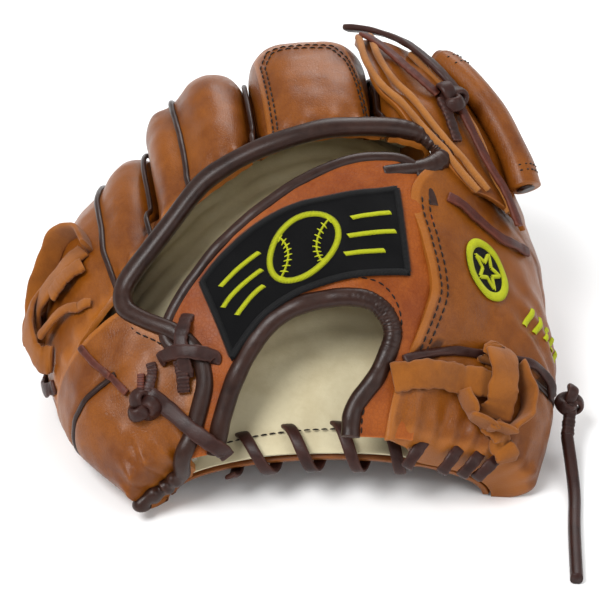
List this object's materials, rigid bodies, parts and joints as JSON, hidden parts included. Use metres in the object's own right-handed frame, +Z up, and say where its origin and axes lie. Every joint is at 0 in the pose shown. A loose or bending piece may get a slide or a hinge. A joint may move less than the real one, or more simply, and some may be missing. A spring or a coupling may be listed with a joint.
{
  "type": "baseball glove",
  "caption": "Cupped leather fielding glove with laced finger backs, a hinged thumb, a wrist strap over an open back, a web between index and thumb, and leather lacing.",
  "frame": {"origin": "centre of the glove's footprint on the surface it lies on, without its free lace end", "axes": "+Z up, +Y from the heel to the fingertips, +X towards the thumb"},
  "size_m": [0.2416, 0.2638, 0.1329],
  "materials": {
    "leather": "oiled leather",
    "strap": "oiled leather",
    "binding": "smooth dark binding leather",
    "lace": "rawhide lace",
    "lining": "soft pale lining leather",
    "patch": "black twill",
    "badge": "embroidered thread",
    "thong": "suede",
    "felt": "pressed felt",
    "stay": "moulded",
    "label": "woven label"
  },
  "bodies": {
    "palm": {"care_label": "label", "heel_corner_lace": "lace", "heel_knot_lace": "lace", "heel_lace": "lace", "heel_pad_pinky": "felt", "palm_liner": "lining", "palm_shell": "leather", "pinky_side_shell": "leather", "side_lace": "lace", "strap_end_roll": "binding", "strap_lace_band": "lace", "strap_lace_tail": "lace", "strap_lining": "lining", "strap_top_binding": "binding", "wrist_binding": "binding", "wrist_patch": "patch", "wrist_strap": "strap"},
    "fingers": {"finger_front": "leather", "pinky_finger_back": "leather", "ring_finger_back": "leather", "middle_finger_back": "leather", "index_finger_back": "leather", "pinky_welt": "binding", "ring_welt": "binding", "middle_finger_pad": "leather", "finger_binding": "binding", "pinky_thong": "thong", "pinky_thong_knot": "thong", "pinky_edge_lace": "lace", "web_top_bar": "leather", "web_post": "leather", "web_cross_strap": "leather", "web_base_strap": "leather", "web_lace": "lace", "web_lace_knot": "lace"},
    "thumb": {"thumb_back_shell": "leather", "thumb_palm_shell": "leather", "thumb_liner": "lining", "heel_pad_thumb": "felt", "thumb_stay": "stay", "thumb_badge": "badge", "thumb_thong": "thong", "thumb_thong_knot": "thong", "thumb_welt": "binding", "thumb_lace_knot": "lace", "thumb_lace_tail": "lace"}
  },
  "joints": [
    {"name": "finger_curl", "type": "hinge", "parent": "palm", "child": "fingers", "pos_m": [-0.00386, 0.01426, 0.07869], "axis": [-1, 0, 0], "range_deg": [-8, 8], "stiffness_Nm_per_rad": 12},
    {"name": "thumb_fold", "type": "hinge", "parent": "palm", "child": "thumb", "pos_m": [0.04283, -0.09353, 0.01578], "axis": [0.0261, 0.8896, 0.4559], "range_deg": [-5, 25], "stiffness_Nm_per_rad": 8}
  ]
}
